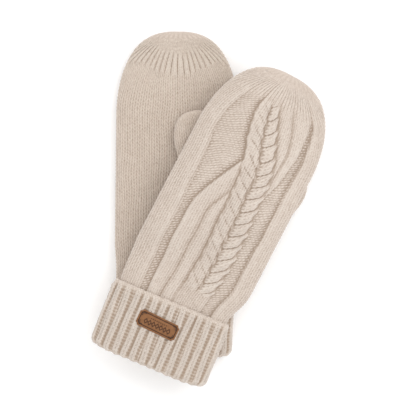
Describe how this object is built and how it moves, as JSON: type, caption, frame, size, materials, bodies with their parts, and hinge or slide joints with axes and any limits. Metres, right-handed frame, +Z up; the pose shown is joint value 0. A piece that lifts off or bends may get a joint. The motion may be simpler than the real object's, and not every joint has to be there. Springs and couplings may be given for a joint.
{
  "type": "pair of cable-knit mittens",
  "caption": "Pair of lined wool mittens with a cable-knit back, plain palm and thumb, turned-back rib cuff and a small leather patch, lying one across the other.",
  "frame": {"origin": "middle of the pair's footprint, on the surface it lies on", "axes": "+Z up, +Y towards the right mitten's fingertips, +X towards the left mitten's fingertips"},
  "size_m": [0.1872, 0.2852, 0.055],
  "materials": {
    "cable_knit": "matte cream wool, cable and rib knit, slightly fuzzy",
    "plain_knit": "matte cream wool, plain knit",
    "gathered_knit": "matte cream wool, drawn together",
    "rib_knit": "matte cream wool, two-by-two rib",
    "seam_yarn": "matte cream wool yarn",
    "fleece": "matte off-white fleece with a short pile",
    "leather": "tan leather, burnt along its border",
    "thread": "dark brown waxed thread"
  },
  "bodies": {
    "right_hand": {"right_back_panel": "cable_knit", "right_palm_panel": "plain_knit", "right_side_seams": "seam_yarn", "right_crown_gather": "gathered_knit", "right_lining": "fleece", "right_inner_cuff": "rib_knit"},
    "right_thumb": {"right_thumb": "plain_knit", "right_thumb_seam": "seam_yarn", "right_thumb_lining": "fleece"},
    "right_cuff": {"right_cuff": "rib_knit", "right_cuff_patch": "leather", "right_patch_stitches": "thread"},
    "left_hand": {"left_back_panel": "cable_knit", "left_palm_panel": "plain_knit", "left_side_seams": "seam_yarn", "left_crown_gather": "gathered_knit", "left_lining": "fleece", "left_inner_cuff": "rib_knit"},
    "left_thumb": {"left_thumb": "plain_knit", "left_thumb_seam": "seam_yarn", "left_thumb_lining": "fleece"},
    "left_cuff": {"left_cuff": "rib_knit", "left_cuff_patch": "leather", "left_patch_stitches": "thread"}
  },
  "joints": [
    {"name": "left_lift", "type": "slide", "parent": "right_hand", "child": "left_hand", "axis": [0, 0, 1], "range_m": [0, 0.12]},
    {"name": "right_thumb_swing", "type": "hinge", "parent": "right_hand", "child": "right_thumb", "pos_m": [0.0018, 0.0144, 0.026], "axis": [0, 0, 1], "range_deg": [-20, 15]},
    {"name": "left_thumb_swing", "type": "hinge", "parent": "left_hand", "child": "left_thumb", "pos_m": [0.0328, -0.0193, 0.0242], "axis": [0.1961, 0, 0.9806], "range_deg": [-15, 2]},
    {"name": "right_cuff_turn_down", "type": "slide", "parent": "right_hand", "child": "right_cuff", "axis": [-0.0436, -0.999, 0], "range_m": [0, 0.05]},
    {"name": "left_cuff_turn_down", "type": "slide", "parent": "left_hand", "child": "left_cuff", "axis": [-0.3827, -0.9239, 0], "range_m": [0, 0.05]}
  ]
}
